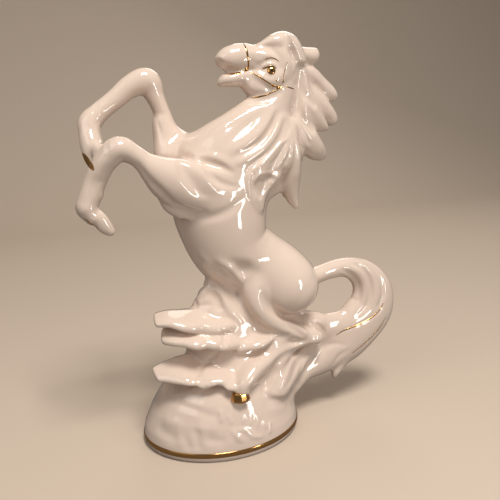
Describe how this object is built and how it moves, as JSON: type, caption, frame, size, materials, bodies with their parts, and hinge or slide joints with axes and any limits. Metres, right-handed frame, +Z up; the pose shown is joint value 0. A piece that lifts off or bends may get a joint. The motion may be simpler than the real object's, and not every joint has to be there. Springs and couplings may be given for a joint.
{
  "type": "porcelain horse figurine",
  "caption": "Rearing horse on a rocky oval mound, with a flowing mane and a tail that curls down to the mound; one glazed porcelain casting with gilded lines.",
  "frame": {"origin": "on the surface it stands on, in the middle of the figurine's length and width", "axes": "+Z up, the head looks towards -X, the tail swings towards +X, the side that shows the most is -Y"},
  "size_m": [0.2238, 0.0862, 0.2688],
  "materials": {
    "porcelain": "warm white high-gloss glaze, with lines and hooves in bright gold lustre"
  },
  "bodies": {
    "root": {"horse_figurine": "porcelain"}
  },
  "joints": []
}
